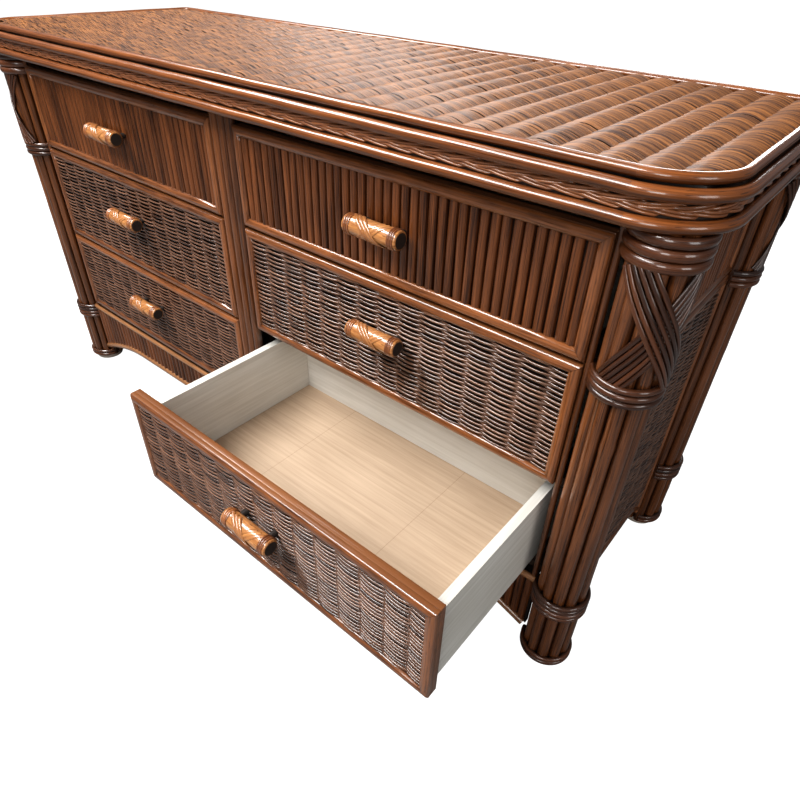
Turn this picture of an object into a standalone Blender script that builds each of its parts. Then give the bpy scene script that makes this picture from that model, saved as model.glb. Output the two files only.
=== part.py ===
"""A six-drawer rattan dresser: two columns of three drawers between four bundled-pole posts,
under a woven top with a rim of bent poles. The lower right drawer stands open.

Metres, +Z up, the front faces -Y. The origin is on the floor, in the middle of the dresser's
outline with its open drawer."""

import math

import bmesh
import bpy
from mathutils import Matrix, Vector

# ---------------------------------------------------------------- driving dimensions

CLEARANCE = 0.0003           # between pieces that touch
RUNNING = 0.0005             # between a drawer and what it slides on
GUIDE_PLAY = 0.0015          # sideways, between a drawer and its guides

FRONT_WIDTH = 0.625          # drawer front, end to end
FRONT_HEIGHTS = {"top": 0.160, "middle": 0.197, "bottom": 0.1865}
FRONT_THICKNESS = 0.0214
FRONT_GAP = 0.005            # between one front and the next below it
FRONT_FRAME = 0.0165         # width of the moulding round a front
FRONT_RECESS = 0.006         # the filling lies this far behind the moulding
FRONT_ROUND = 0.004          # softened outer edge of the moulding
STILE_WIDTH = 0.059          # between the two columns of fronts
STILE_POLES = 3
LOWEST_FRONT = 0.1855        # underside of the bottom fronts above the floor
HEADROOM = 0.0214            # from the top fronts up to the rim

POST_RADIUS = 0.0385
POST_POLES = 10              # thin poles round each post
POST_GAP = 0.010             # from a front's end to the post beside it
POST_SETBACK = 0.021         # post centres behind the plane of the fronts
POST_SPAN = 0.413            # front post centre to back post centre

RIM_OFFSET = 0.051           # outer and lower rim poles' centre line outside the post centres
RIM_FRONT_CORNER = 0.0337    # added to an outline's offset, this is its front corners' radius
RIM_BACK_CORNER = -0.034     # and its back corners' radius, which are nearly square
SHARPEST_CORNER = 0.002
LOWER_POLE_RADIUS = 0.0069
BRAID_HEIGHT = 0.0154
BRAID_THICKNESS = 0.0045
OUTER_POLE_RADIUS = 0.0073
INNER_POLE_RADIUS = 0.0060
INNER_POLE_IN = 0.0081       # inner pole inside the outer pole, and above it
INNER_POLE_UP = 0.0137
TOP_FRAME_WIDTH = 0.060
TOP_FRAME_HEIGHT = 0.0341
TOP_BELOW_CROWN = 0.0006     # the top's surface under the inner pole's crown
TOP_RAIL_DEPTH = 0.020
TOP_RAIL_GAP = 0.003         # over the top drawers

WRAP_HEIGHT = 0.0130         # one turn of the collar under the rim
WRAP_TURNS = 3
WRAP_PROUD = 0.0075          # wrap outside the post
RING_HEIGHT = 0.0093         # one turn of the ring half way up
RING_TURNS = 3
RING_PROUD = 0.0064
RING_FOOT = 0.5555           # underside of that ring above the floor
STRAP_WIDTH = 0.036          # crossed strap of thin strands between ring and collar
STRAP_THICKNESS = 0.0022
STRAP_LIFT = 0.0004          # the lower strap off the post, and the upper one off the lower
STRAP_SWEEP = 60.0           # degrees either side of the post's outer corner
WRAP_TO_PANEL = 119.0        # degrees from that corner to a wrap's end at the side panel
WRAP_TO_INSIDE = 130.0       # and to its end at the drawers or the back

APRON_GAP = 0.0085           # under the bottom fronts
APRON_THICKNESS = 0.0204
APRON_ARCH = 0.092           # underside of the aprons above the floor in the middle
APRON_FOOT = 0.042           # and beside the posts
APRON_RISE_LENGTH = 0.200    # length of the curve that joins those two heights

SIDE_PANEL_THICKNESS = 0.014
SIDE_PANEL_OUT = 0.009       # its outer face outside the post centres
BACK_PANEL_THICKNESS = 0.008
PARTITION_THICKNESS = 0.018
DUST_BOARD_THICKNESS = 0.015
GUIDE_HEIGHT = 0.012
GUIDE_WIDTH = 0.010

BOX_LENGTH = 0.3586          # drawer box behind its front
BOX_WALL = 0.014
BOX_INSET = 0.0094           # box side inside the front's end
BOX_BELOW_TOP = 0.030        # box top under the front's top
BOX_ABOVE_BOTTOM = 0.003     # box side above the front's underside
BOTTOM_PLY = 0.005
BOTTOM_RAISED = 0.0128       # plywood above the box side's lower edge
GROOVE_DEPTH = 0.005

HANDLE_LENGTH = 0.095
HANDLE_RADIUS = 0.0145
HANDLE_STANDOFF = 0.020      # handle's axis in front of the fronts
HANDLE_BELOW_TOP = 0.0775
STUB_RADIUS = 0.0055         # the two pegs that hold a handle
STUB_SPACING = 0.062

OPEN_BY = 0.266              # how far the lower right drawer stands open

# ---------------------------------------------------------------- heights and places

fronts_z = {}
level = LOWEST_FRONT
for row in ("bottom", "middle", "top"):
    fronts_z[row] = (level, level + FRONT_HEIGHTS[row])
    level += FRONT_HEIGHTS[row] + FRONT_GAP
rim_foot = fronts_z["top"][1] + HEADROOM
lower_pole_z = rim_foot + LOWER_POLE_RADIUS
braid_z = (rim_foot + 2 * LOWER_POLE_RADIUS, rim_foot + 2 * LOWER_POLE_RADIUS + BRAID_HEIGHT)
outer_pole_z = braid_z[1] + OUTER_POLE_RADIUS
inner_pole_z = outer_pole_z + INNER_POLE_UP
crown_z = inner_pole_z + INNER_POLE_RADIUS
frame_top_z = rim_foot + TOP_FRAME_HEIGHT
apron_top_z = LOWEST_FRONT - APRON_GAP

post_x = STILE_WIDTH / 2 + FRONT_WIDTH + POST_GAP + POST_RADIUS
reach_front = OPEN_BY + HANDLE_STANDOFF + HANDLE_RADIUS
reach_back = POST_SETBACK + POST_SPAN + RIM_OFFSET + OUTER_POLE_RADIUS
front_y = (reach_front - reach_back) / 2
post_y = (front_y + POST_SETBACK, front_y + POST_SETBACK + POST_SPAN)
middle_y = sum(post_y) / 2
inside_x = post_x - POST_RADIUS - CLEARANCE
inside_front_y = front_y + FRONT_THICKNESS + 0.001
back_panel_y = (post_y[1] - BACK_PANEL_THICKNESS, post_y[1])
inside_back_y = back_panel_y[0] - CLEARANCE
inner_offset = RIM_OFFSET - INNER_POLE_IN
frame_offset = RIM_OFFSET - LOWER_POLE_RADIUS - CLEARANCE

COLOURS = {
    "pole": ((0.30, 0.12, 0.045), 0.28),
    "reed": ((0.22, 0.10, 0.05), 0.4),
    "weave": ((0.16, 0.085, 0.055), 0.45),
    "top_weave": ((0.36, 0.19, 0.09), 0.4),
    "handle": ((0.48, 0.22, 0.06), 0.25),
    "box_wood": ((0.72, 0.70, 0.63), 0.6),
    "bottom_ply": ((0.62, 0.46, 0.29), 0.6),
    "inner_wood": ((0.16, 0.10, 0.06), 0.75),
}

# ---------------------------------------------------------------- helpers

for old in list(bpy.data.objects):
    bpy.data.objects.remove(old)
dresser = bpy.data.collections.new("dresser")
cutters = bpy.data.collections.new("cutters")
bpy.context.scene.collection.children.link(dresser)
bpy.context.scene.collection.children.link(cutters)


def material(name):
    """The Principled material of that name, made the first time it is asked for."""
    found = bpy.data.materials.get(name)
    if found:
        return found
    made = bpy.data.materials.new(name)
    made.use_nodes = True
    shader = made.node_tree.nodes["Principled BSDF"]
    colour, roughness = COLOURS[name]
    shader.inputs["Base Color"].default_value = (*colour, 1.0)
    shader.inputs["Roughness"].default_value = roughness
    shader.inputs["Metallic"].default_value = 0.0
    return made


def place(name, data, finish, parent=None, collection=dresser):
    """A new object for a mesh or curve, with its material, under its parent if it has one."""
    piece = bpy.data.objects.new(name, data)
    collection.objects.link(piece)
    if finish and not data.materials:
        data.materials.append(material(finish))
    if parent:
        piece.parent = parent
    return piece


def mesh_from(name, bm):
    mesh = bpy.data.meshes.new(name)
    bm.to_mesh(mesh)
    bm.free()
    return mesh


def smooth(mesh, angle=35.0):
    mesh.shade_smooth()
    mesh.set_sharp_from_angle(angle=math.radians(angle))


def board(name, low, high, finish, parent=None, collection=dresser):
    """A rectangular board between two corners, with its origin in its middle."""
    low, high = Vector(low), Vector(high)
    bm = bmesh.new()
    bmesh.ops.create_cube(bm, size=1.0)
    bmesh.ops.scale(bm, vec=high - low, verts=bm.verts)
    piece = place(name, mesh_from(name, bm), finish, parent, collection)
    piece.location = (low + high) / 2
    return piece


def cylinder(name, radius, length, axis, sides, collection=dresser):
    """A closed cylinder about its own middle, along X, Y or Z."""
    bm = bmesh.new()
    bmesh.ops.create_cone(bm, cap_ends=True, segments=sides, radius1=radius, radius2=radius, depth=length)
    turn = {"X": Matrix.Rotation(math.pi / 2, 3, "Y"), "Y": Matrix.Rotation(math.pi / 2, 3, "X")}
    if axis in turn:
        bmesh.ops.rotate(bm, verts=bm.verts, matrix=turn[axis])
    return place(name, mesh_from(name, bm), None, None, collection)


def as_cutter(piece):
    """Marks a piece as a tool of a Boolean, which isn't part of the dresser."""
    piece.hide_render = True
    piece.display_type = "WIRE"
    for used in list(piece.users_collection):
        used.objects.unlink(piece)
    cutters.objects.link(piece)
    return piece


def combine(piece, tool, operation):
    step = piece.modifiers.new(operation.lower(), "BOOLEAN")
    step.operation = operation
    step.solver = "EXACT"
    step.object = as_cutter(tool)


def baked(piece, name):
    """The mesh that a piece's modifiers make, in the piece's own frame."""
    bpy.context.view_layer.update()
    graph = bpy.context.evaluated_depsgraph_get()
    mesh = bpy.data.meshes.new_from_object(piece.evaluated_get(graph))
    bm = bmesh.new()
    bm.from_mesh(mesh)
    bmesh.ops.remove_doubles(bm, verts=bm.verts, dist=0.00001)
    bm.to_mesh(mesh)
    bm.free()
    mesh.name = name
    return mesh


def rim_outline(offset, corner_steps=7):
    """Points of the rim's outline, that far outside the post centres, about its middle: wide round
    corners at the front, tight ones at the back."""
    edge_x, edge_y = post_x + offset, POST_SPAN / 2 + offset
    back = max(RIM_BACK_CORNER + offset, SHARPEST_CORNER)
    front = max(RIM_FRONT_CORNER + offset, SHARPEST_CORNER)
    points = []
    for quarter, (sx, sy, radius) in enumerate(((1, 1, back), (-1, 1, back), (-1, -1, front), (1, -1, front))):
        steps = corner_steps if radius == front else 4
        for step in range(steps + 1):
            angle = math.pi / 2 * (quarter + step / steps)
            points.append((sx * (edge_x - radius) + radius * math.cos(angle),
                           sy * (edge_y - radius) + radius * math.sin(angle)))
    return points


def spline_through(curve, points, z=0.0):
    spline = curve.splines.new("POLY")
    spline.points.add(len(points) - 1)
    for target, (x, y) in zip(spline.points, points):
        target.co = (x, y, z, 1.0)
    spline.use_cyclic_u = True


def bent_pole(name, offset, radius, z, finish):
    """A round pole bent into a closed ring round the top."""
    curve = bpy.data.curves.new(name, "CURVE")
    curve.dimensions = "3D"
    curve.bevel_depth = radius
    curve.bevel_resolution = 2
    spline_through(curve, rim_outline(offset))
    piece = place(name, curve, finish)
    piece.location = (0, middle_y, z)
    return piece


def plate(name, outlines, thickness, finish, location, rotation=(0, 0, 0)):
    """A flat plate from its outline and the outlines of its holes. Its thickness is centred."""
    curve = bpy.data.curves.new(name, "CURVE")
    curve.dimensions = "2D"
    curve.fill_mode = "BOTH"
    curve.extrude = thickness / 2
    for points in outlines:
        spline_through(curve, points)
    piece = place(name, curve, finish)
    piece.location = location
    piece.rotation_euler = rotation
    return piece


# ---------------------------------------------------------------- top and rim


def make_top():
    bent_pole("rim_inner_pole", inner_offset, INNER_POLE_RADIUS, inner_pole_z, "pole")
    bent_pole("rim_outer_pole", RIM_OFFSET, OUTER_POLE_RADIUS, outer_pole_z, "pole")
    bent_pole("rim_lower_pole", RIM_OFFSET, LOWER_POLE_RADIUS, lower_pole_z, "pole")

    braid_in = frame_offset + CLEARANCE
    low, high = braid_z[0] + CLEARANCE, braid_z[1] - CLEARANCE
    plate("rim_braid", [rim_outline(braid_in + BRAID_THICKNESS), rim_outline(braid_in)],
          high - low, "reed", (0, middle_y, (low + high) / 2))
    plate("top_frame", [rim_outline(frame_offset), rim_outline(frame_offset - TOP_FRAME_WIDTH)],
          TOP_FRAME_HEIGHT, "inner_wood", (0, middle_y, rim_foot + TOP_FRAME_HEIGHT / 2))

    low, high = frame_top_z + CLEARANCE, crown_z - TOP_BELOW_CROWN
    plate("top_panel", [rim_outline(inner_offset - INNER_POLE_RADIUS - CLEARANCE)],
          high - low, "top_weave", (0, middle_y, (low + high) / 2))
    board("top_rail", (-inside_x, inside_front_y, fronts_z["top"][1] + TOP_RAIL_GAP),
          (inside_x, inside_front_y + TOP_RAIL_DEPTH, rim_foot - CLEARANCE), "inner_wood")


# ---------------------------------------------------------------- posts and their bindings


def post_outline(steps=4):
    """A round of thin poles: each is an arc between two valleys."""
    pole = math.pi * POST_RADIUS / (POST_POLES + math.pi)
    centre = POST_RADIUS - pole
    points = []
    for number in range(POST_POLES):
        middle = 2 * math.pi * number / POST_POLES
        for step in range(steps):
            turn = math.radians(80) * (2 * step / (steps - 1) - 1)
            points.append((centre * math.cos(middle) + pole * math.cos(middle + turn),
                           centre * math.sin(middle) + pole * math.sin(middle + turn)))
    return points


def ring_mesh(name, turns, turn_height, proud, base_z, reach, sides=16):
    """Turns of rattan round a post from one angle to another, in degrees about Z from +X: a
    profile with one bulge for each turn, spun between them."""
    start, end = (math.radians(angle) for angle in reach)
    flats_out = 1 / math.cos((end - start) / sides / 2)
    inner = (POST_RADIUS + CLEARANCE) * flats_out
    depth = POST_RADIUS + proud - inner
    profile = [(inner, base_z)]
    for number in range(turns):
        for share, out in ((0.08, 0.5), (0.5, 1.0), (0.92, 0.5)):
            profile.append((inner + depth * out, base_z + turn_height * (number + share)))
    profile.append((inner, base_z + turns * turn_height))
    bm = bmesh.new()
    corners = [bm.verts.new((radius, 0, z)) for radius, z in profile]
    end_face = bm.faces.new(corners)
    bmesh.ops.rotate(bm, verts=bm.verts, cent=(0, 0, 0), matrix=Matrix.Rotation(start, 3, "Z"))
    bmesh.ops.spin(bm, geom=[*bm.verts, *bm.edges, end_face], cent=(0, 0, 0), axis=(0, 0, 1),
                   angle=end - start, steps=sides)
    bmesh.ops.recalc_face_normals(bm, faces=bm.faces)
    return mesh_from(name, bm)


def strap(name, low_z, high_z, direction, lift, steps=10):
    """A strap laid slantwise on the post, from one side of its outer corner to the other."""
    bm = bmesh.new()
    bmesh.ops.create_grid(bm, x_segments=steps, y_segments=3, size=0.5)
    sweep = math.radians(STRAP_SWEEP)
    radius = POST_RADIUS + CLEARANCE + lift
    length = math.hypot(2 * sweep * radius, high_z - low_z)
    lean_turn, lean_rise = (high_z - low_z) / length, 2 * sweep * radius / length
    for corner in bm.verts:
        along, across = corner.co.x, corner.co.y * STRAP_WIDTH
        turn = direction * (2 * sweep * along - across * lean_turn / radius)
        z = (low_z + high_z) / 2 + (high_z - low_z) * along + across * lean_rise
        corner.co = (radius * math.cos(turn), radius * math.sin(turn), z)
    bmesh.ops.recalc_face_normals(bm, faces=bm.faces)
    if sum(face.normal.dot(face.calc_center_median() * Vector((1, 1, 0))) for face in bm.faces) < 0:
        bmesh.ops.reverse_faces(bm, faces=bm.faces)
    piece = place(name, mesh_from(name, bm), None)
    wall = piece.modifiers.new("wall", "SOLIDIFY")
    wall.thickness = STRAP_THICKNESS + lift
    wall.offset = 1.0
    return piece


def binding_mesh(name, reach):
    """The rattan round one post: a ring half way up, a collar under the rim, and two crossed straps."""
    collar_foot = rim_foot - CLEARANCE - WRAP_TURNS * WRAP_HEIGHT
    ring_top = RING_FOOT + RING_TURNS * RING_HEIGHT
    ring = ring_mesh("ring", RING_TURNS, RING_HEIGHT, RING_PROUD, RING_FOOT, reach)
    collar = ring_mesh("collar", WRAP_TURNS, WRAP_HEIGHT, WRAP_PROUD, collar_foot, reach)
    whole = place("ring", ring, None)
    combine(whole, place("collar", collar, None), "UNION")
    for direction, layers in ((1, 2), (-1, 1)):
        piece = strap("strap", ring_top - 0.006, collar_foot + 0.006, direction, layers * STRAP_LIFT)
        combine(whole, piece, "UNION")
    mesh = baked(whole, name)
    as_cutter(whole)
    smooth(mesh)
    return mesh


def make_posts():
    curve = bpy.data.curves.new("post_bundle", "CURVE")
    curve.dimensions = "2D"
    curve.fill_mode = "BOTH"
    curve.extrude = (rim_foot - CLEARANCE) / 2
    spline_through(curve, post_outline())

    wrapped = {1: binding_mesh("binding_right", (-WRAP_TO_INSIDE, WRAP_TO_PANEL)),
               -1: binding_mesh("binding_left", (-WRAP_TO_PANEL, WRAP_TO_INSIDE))}
    corners = (("front_right", 1, 0, -45), ("back_right", 1, 1, 45),
               ("back_left", -1, 1, 135), ("front_left", -1, 0, 225))
    for name, side, row, heading in corners:
        post = place("post_" + name, curve, "pole")
        post.location = (side * post_x, post_y[row], (rim_foot - CLEARANCE) / 2)
        hand = side * (1 - 2 * row)
        wrap = place("post_binding_" + name, wrapped[hand], "pole")
        wrap.location = (side * post_x, post_y[row], 0)
        wrap.rotation_euler = (0, 0, math.radians(heading))


# ---------------------------------------------------------------- front, sides, back and inside


def arched_outline(half, top):
    """A panel between two posts: straight top and sides, and an underside that rises from the posts."""
    rise = min(APRON_RISE_LENGTH, half * 0.6)
    curve = []
    for step in range(9):
        share = step / 8
        curve.append((half - rise * share,
                      APRON_FOOT + (APRON_ARCH - APRON_FOOT) * math.sin(share * math.pi / 2)))
    return [(-half, top), *[(-x, z) for x, z in curve], *reversed(curve), (half, top)]


def make_carcass():
    upright = (math.pi / 2, 0, 0)
    plate("apron_front", [arched_outline(inside_x, apron_top_z)], APRON_THICKNESS, "reed",
          (0, front_y + APRON_THICKNESS / 2, 0), upright)

    off_centre = max(SIDE_PANEL_OUT - SIDE_PANEL_THICKNESS, 0.0)
    half = POST_SPAN / 2 - math.sqrt(POST_RADIUS ** 2 - off_centre ** 2) - CLEARANCE
    edgewise = (math.pi / 2, 0, math.pi / 2)
    for name, side in (("left", -1), ("right", 1)):
        centre_x = side * (post_x + SIDE_PANEL_OUT - SIDE_PANEL_THICKNESS / 2)
        plate("side_panel_" + name, [arched_outline(half, rim_foot - CLEARANCE)], SIDE_PANEL_THICKNESS,
              "weave", (centre_x, middle_y, 0), edgewise)

    board("back_panel", (-inside_x, back_panel_y[0], APRON_ARCH),
          (inside_x, back_panel_y[1], rim_foot - CLEARANCE), "inner_wood")
    make_stile()
    make_inside()


def make_stile():
    """The upright between the columns: half-round poles side by side on a thin backing."""
    half = STILE_WIDTH / 2 - 0.001
    pitch = 2 * half / STILE_POLES
    depth = FRONT_THICKNESS
    flat = depth - pitch / 2 * 0.96
    points = [(half, depth), (-half, depth)]
    for number in range(STILE_POLES):
        centre = -half + pitch * (number + 0.5)
        for step in range(6):
            angle = math.radians(170) * (step / 5) + math.radians(5)
            points.append((centre - pitch / 2 * 0.96 * math.cos(angle),
                           depth - flat - pitch / 2 * 0.96 * math.sin(angle)))
    low, high = apron_top_z + CLEARANCE, rim_foot - CLEARANCE
    plate("centre_stile", [points], high - low, "pole", (0, front_y, (low + high) / 2))


def make_inside():
    """Three dust boards carry the drawers. The partition and the boards are halved into each other."""
    board_z = {}
    for row, (low, _) in fronts_z.items():
        top = low + BOX_ABOVE_BOTTOM - RUNNING
        board_z[row] = (top - DUST_BOARD_THICKNESS, top)
    lap_y = (inside_front_y + inside_back_y) / 2
    half = PARTITION_THICKNESS / 2
    partition = board("centre_partition",
                      (-half, inside_front_y + TOP_RAIL_DEPTH + CLEARANCE, board_z["bottom"][0]),
                      (half, inside_back_y, rim_foot - CLEARANCE), "inner_wood")
    for row, (low, high) in board_z.items():
        shelf = board("dust_board_" + row, (-inside_x, inside_front_y, low),
                      (inside_x, inside_back_y, high), "inner_wood")
        for column in (-1, 1):
            for edge in (-1, 1):
                make_guide(shelf, column, edge, high)
        slot = board("slot_" + row, (-half - CLEARANCE, lap_y, low - 0.01),
                     (half + CLEARANCE, inside_back_y + 0.01, high + 0.05), None, None, cutters)
        combine(shelf, slot, "DIFFERENCE")
        notch = board("notch_" + row, (-half - 0.01, front_y, low - CLEARANCE),
                      (half + 0.01, lap_y + CLEARANCE, high + CLEARANCE), None, None, cutters)
        combine(partition, notch, "DIFFERENCE")


def make_guide(shelf, column, edge, top):
    """A strip glued on a dust board that keeps one side of a drawer in line."""
    centre = column * (STILE_WIDTH + FRONT_WIDTH) / 2
    face = centre + edge * (FRONT_WIDTH / 2 - BOX_INSET + GUIDE_PLAY)
    other = face + edge * GUIDE_WIDTH
    strip = board("guide", (min(face, other), inside_front_y + 0.03, top - 0.002),
                  (max(face, other), inside_back_y - 0.03, top + GUIDE_HEIGHT), None, None, cutters)
    combine(shelf, strip, "UNION")


# ---------------------------------------------------------------- drawers


def front_mesh(name, height):
    """A drawer front about the middle of its outer face: a moulding round a filling that lies back."""
    bm = bmesh.new()
    bmesh.ops.create_cube(bm, size=1.0)
    bmesh.ops.scale(bm, vec=(FRONT_WIDTH, FRONT_THICKNESS, height), verts=bm.verts)
    bmesh.ops.translate(bm, vec=(0, FRONT_THICKNESS / 2, 0), verts=bm.verts)
    face = min(bm.faces, key=lambda f: f.calc_center_median().y)
    bmesh.ops.bevel(bm, geom=list(face.edges), offset=FRONT_ROUND, segments=2, profile=0.5,
                    affect="EDGES", material=-1)
    face = max((f for f in bm.faces if f.normal.y < -0.99), key=lambda f: f.calc_area())
    bmesh.ops.inset_region(bm, faces=[face], thickness=FRONT_FRAME - FRONT_ROUND)
    bmesh.ops.inset_region(bm, faces=[face], thickness=FRONT_RECESS / 2, depth=-FRONT_RECESS)
    return mesh_from(name, bm)


def handle_mesh():
    """A short thick pole along X on two pegs, about the middle of its axis."""
    pole = cylinder("handle_pole", HANDLE_RADIUS, HANDLE_LENGTH, "X", 16)
    reach = HANDLE_STANDOFF + FRONT_RECESS - CLEARANCE
    for side in (-1, 1):
        peg = cylinder("peg", STUB_RADIUS, reach, "Y", 10)
        peg.location = (side * STUB_SPACING / 2, reach / 2, 0)
        combine(pole, peg, "UNION")
    mesh = baked(pole, "handle")
    as_cutter(pole)
    smooth(mesh)
    return mesh


def make_drawer(column, row, handle):
    """One drawer under an empty at the middle of its front, which slides along -Y."""
    side = {"left": -1, "right": 1}[column]
    low, high = fronts_z[row]
    name = f"{row}_{column}"
    slide = bpy.data.objects.new("slide_" + name, None)
    dresser.objects.link(slide)
    opened = OPEN_BY if name == "bottom_right" else 0.0
    slide.location = (side * (STILE_WIDTH + FRONT_WIDTH) / 2, front_y - opened, (low + high) / 2)

    half_height = (high - low) / 2
    finish = "reed" if row == "top" else "weave"
    place("drawer_front_" + name, front_mesh("front_" + name, high - low), finish, slide)
    pull = place("drawer_handle_" + name, handle, "handle", slide)
    pull.location = (0, -HANDLE_STANDOFF, half_height - HANDLE_BELOW_TOP)

    out_x = FRONT_WIDTH / 2 - BOX_INSET
    in_x = out_x - BOX_WALL
    near_y = FRONT_THICKNESS + CLEARANCE
    far_y = FRONT_THICKNESS + BOX_LENGTH
    foot, top = -half_height + BOX_ABOVE_BOTTOM, half_height - BOX_BELOW_TOP
    ply_low = foot + BOTTOM_RAISED
    walls = {
        "left": ((-out_x, near_y, foot), (-in_x, far_y, top)),
        "right": ((in_x, near_y, foot), (out_x, far_y, top)),
        "back": ((-in_x + CLEARANCE, far_y - BOX_WALL, foot), (in_x - CLEARANCE, far_y, top)),
    }
    groove_x, groove_y = in_x + GROOVE_DEPTH, far_y - BOX_WALL + GROOVE_DEPTH
    for wall, (a, b) in walls.items():
        piece = board(f"drawer_{wall}_{name}", a, b, "box_wood", slide)
        groove = board(f"groove_{wall}_{name}", (-groove_x, near_y - 0.01, ply_low),
                       (groove_x, groove_y, ply_low + BOTTOM_PLY), None, slide, cutters)
        combine(piece, groove, "DIFFERENCE")
    board("drawer_bottom_" + name, (-groove_x + CLEARANCE, near_y, ply_low + CLEARANCE),
          (groove_x - CLEARANCE, groove_y - CLEARANCE, ply_low + BOTTOM_PLY - CLEARANCE),
          "bottom_ply", slide)


# ---------------------------------------------------------------- build

make_top()
make_posts()
make_carcass()
handle = handle_mesh()
for column in ("left", "right"):
    for row in ("top", "middle", "bottom"):
        make_drawer(column, row, handle)
print("front plane at y", round(front_y, 4), "height", round(crown_z, 4))
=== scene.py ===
# %% [markdown]
# # A six-drawer rattan dresser
# The structure of this dresser, its boards, posts, drawers and slides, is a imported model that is
# loaded here as a fixed frame. This script adds what makes it look like rattan: poles with grain,
# woven fillings, bindings, a plaited band round the rim, and lacquer on all of it. Each new piece
# takes its place from the boxes of the frame's own nodes, so nothing is placed by eye.

# %% Load the frame
import math

import bmesh
import bpy
import numpy as np
from mathutils import Matrix, Vector


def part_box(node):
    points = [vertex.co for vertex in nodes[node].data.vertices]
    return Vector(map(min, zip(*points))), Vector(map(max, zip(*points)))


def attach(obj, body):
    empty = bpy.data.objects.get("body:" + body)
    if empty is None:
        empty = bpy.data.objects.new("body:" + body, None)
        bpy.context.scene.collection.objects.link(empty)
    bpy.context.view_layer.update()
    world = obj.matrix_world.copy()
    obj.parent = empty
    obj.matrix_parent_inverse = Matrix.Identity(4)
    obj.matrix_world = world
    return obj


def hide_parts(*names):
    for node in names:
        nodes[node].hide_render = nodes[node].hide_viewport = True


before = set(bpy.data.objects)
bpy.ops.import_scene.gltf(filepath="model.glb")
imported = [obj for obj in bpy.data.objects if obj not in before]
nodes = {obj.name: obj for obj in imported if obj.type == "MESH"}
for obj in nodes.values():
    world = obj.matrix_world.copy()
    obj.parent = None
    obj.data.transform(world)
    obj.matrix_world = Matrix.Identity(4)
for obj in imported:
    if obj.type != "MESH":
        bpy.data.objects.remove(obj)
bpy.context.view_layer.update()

# %% [markdown]
# ## Camera
# A camera is easiest to reason about as three turns: a tilt down from the horizon, a heading round
# the dresser, and the small roll of a camera held by hand. Multiplying the three matrices gives its
# orientation, with no target object needed.

# %% Camera
CAMERA_AT = Vector((0.8634, -0.7030, 0.9754))
HEADING, TILT, ROLL = 38.415, 52.84, 2.08      # degrees
LENS_MM = 27.458                               # on a 36 mm sensor

camera_data = bpy.data.cameras.new("camera")
camera_data.sensor_width = 36.0
camera_data.lens = LENS_MM
camera = bpy.data.objects.new("camera", camera_data)
bpy.context.scene.collection.objects.link(camera)
turned = (Matrix.Rotation(math.radians(HEADING), 4, "Z") @ Matrix.Rotation(math.radians(TILT), 4, "X")
          @ Matrix.Rotation(math.radians(ROLL), 4, "Z"))
camera.matrix_world = Matrix.Translation(CAMERA_AT) @ turned
bpy.context.scene.camera = camera
print("camera at", tuple(round(v, 3) for v in CAMERA_AT))

# %% [markdown]
# ## Sizes
# Everything below is measured from the frame where it can be. What the frame doesn't hold, such as
# the thickness of a reed or the spacing of the stakes in a weave, is a named value here, in metres.

# %% Sizes from the frame
post_low, post_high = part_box("post_front_right")
back_post_low, back_post_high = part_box("post_back_right")
post_x = (post_low.x + post_high.x) / 2
post_y = ((post_low.y + post_high.y) / 2, (back_post_low.y + back_post_high.y) / 2)
rim_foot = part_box("rim_lower_pole")[0].z
print("posts at x", round(post_x, 4), "y", [round(y, 4) for y in post_y], "rim from", round(rim_foot, 4))

rng = np.random.default_rng(11)

# %% [markdown]
# ## One helper for everything that is a rod
# A rattan dresser is nearly all rods: poles, reeds, strands of a weave, bindings. All of them are a
# flat grid rolled into a tube round a line of points. Blender's `create_grid` makes the faces; each
# copy is lifted to its own height so that a vertex's place tells which rod, which ring and which side
# of the rod it is. Then one array operation moves every vertex at once, which is far quicker than
# building thousands of rods one by one. Last, the seam of each tube is welded shut.

# %% Rods
def new_piece(name, mesh, finish, body, replaces=()):
    """Links a finished mesh as a piece of the dresser and tells the frame where it belongs."""
    piece = bpy.data.objects.new(name, mesh)
    bpy.context.scene.collection.objects.link(piece)
    if finish:
        mesh.materials.clear()
        mesh.materials.append(finish)
    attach(piece, body)
    if replaces:
        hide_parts(*replaces)
    print(f"{name}: {len(mesh.polygons)} faces")
    return piece


def mesh_of(name, bm):
    """The finished mesh of a bmesh, which is used up."""
    mesh = bpy.data.meshes.new(name)
    bm.to_mesh(mesh)
    bm.free()
    return mesh


def numbered_grids(count, steps, sides):
    """A mesh of that many unit grids, each one lying at a height that is its own number."""
    bm = bmesh.new()
    bm.loops.layers.uv.new("UVMap")
    bm.verts.layers.float.new("shade")
    bmesh.ops.create_grid(bm, x_segments=steps, y_segments=sides, size=0.5)
    one = len(bm.verts), len(bm.edges), len(bm.faces)
    made = 1
    while made < count:
        more = min(made, count - made)
        source = bm.verts[:more * one[0]] + bm.edges[:more * one[1]] + bm.faces[:more * one[2]]
        copied = bmesh.ops.duplicate(bm, geom=source)["geom"]
        fresh = [part for part in copied if isinstance(part, bmesh.types.BMVert)]
        bmesh.ops.translate(bm, verts=fresh, vec=(0, 0, made))
        made += more
        for table in (bm.verts, bm.edges, bm.faces):
            table.ensure_lookup_table()
    return bm


def unit(vectors):
    return vectors / np.maximum(np.linalg.norm(vectors, axis=-1, keepdims=True), 1e-12)


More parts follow.
